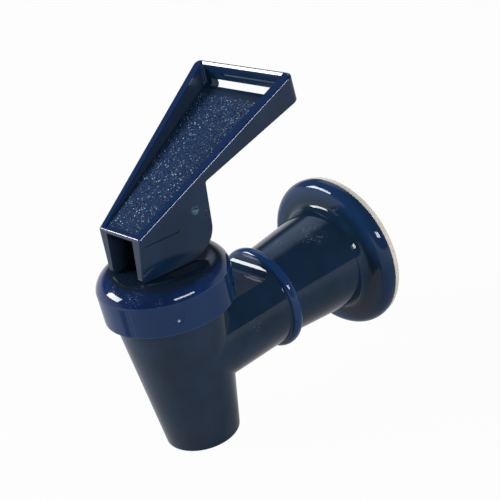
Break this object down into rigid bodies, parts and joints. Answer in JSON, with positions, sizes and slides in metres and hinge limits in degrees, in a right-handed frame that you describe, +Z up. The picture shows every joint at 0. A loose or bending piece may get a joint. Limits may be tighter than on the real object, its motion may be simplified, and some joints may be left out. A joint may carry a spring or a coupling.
{
  "type": "beverage dispenser spigot",
  "caption": "Lever spigot for a drinks dispenser: tapered spout under a round bonnet, short shank with a ring, and a wall flange with a gasket.",
  "frame": {"origin": "on the shank's axis, at the mouth of the thread, in the plane of the gasket's rear face that meets the panel", "axes": "+Y points from the spigot into the panel, +Z is up, the spout's vertical axis is in front at -Y, and X runs across the lever"},
  "size_m": [0.0442, 0.077, 0.0879],
  "materials": {
    "navy_plastic": "glossy moulded dark blue plastic",
    "lever_plastic": "glossy moulded dark blue plastic with a stippled tray",
    "bonnet_plastic": "glossy moulded dark blue plastic",
    "cream_foam": "matt cream foam rubber",
    "white_plastic": "satin white acetal",
    "black_plastic": "satin black acetal",
    "silicone": "milky silicone rubber",
    "steel": "drawn stainless steel",
    "brass": "turned brass",
    "black_rubber": "matt black rubber"
  },
  "bodies": {
    "body": {"faucet_body": "navy_plastic", "mounting_gasket": "cream_foam", "thread_insert": "brass", "nipple_washer": "black_rubber", "bonnet": "bonnet_plastic", "seat_cup": "silicone", "slip_ring": "white_plastic", "return_spring": "steel"},
    "stem": {"valve_stem": "black_plastic", "pivot_pin": "steel", "spring_washer": "steel"},
    "lever": {"lever": "lever_plastic"}
  },
  "joints": [
    {"name": "stem_lift", "type": "slide", "parent": "body", "child": "stem", "axis": [0, 0, 1], "range_m": [0, 0.0017], "deforming": ["return_spring", "seat_cup"]},
    {"name": "lever_tilt", "type": "hinge", "parent": "stem", "child": "lever", "pos_m": [0, -0.0598, 0.0332], "axis": [-1, 0, 0], "range_deg": [0, 30], "stiffness_Nm_per_rad": 0.0142, "springref_deg": -89.95}
  ],
  "couplings": [
    {"joint": "stem_lift", "follows": "lever_tilt", "m_per_rad": 0.0032}
  ]
}
